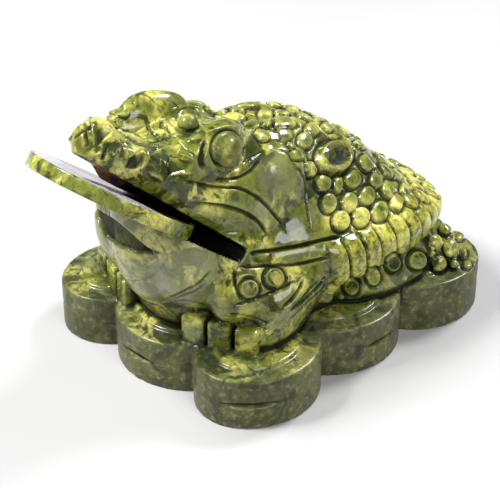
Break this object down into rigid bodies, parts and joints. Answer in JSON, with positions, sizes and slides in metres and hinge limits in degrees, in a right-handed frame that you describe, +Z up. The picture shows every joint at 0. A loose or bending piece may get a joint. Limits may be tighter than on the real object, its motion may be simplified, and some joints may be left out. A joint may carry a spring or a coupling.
{
  "type": "money toad figure",
  "caption": "Carved green stone toad crouching on a lobed plinth with its head raised and a loose round coin held in its open mouth.",
  "frame": {"origin": "middle of the plinth's underside", "axes": "+Z up, -Y the way the toad faces, +X the toad's left side"},
  "size_m": [0.206, 0.3095, 0.1943],
  "materials": {
    "toad_stone": "polished mottled green stone with dark and pale clouds; mouth slot painted black",
    "coin_stone": "polished mottled green stone disc with a printed face"
  },
  "bodies": {
    "root": {"toad": "toad_stone", "coin": "coin_stone"}
  },
  "joints": []
}
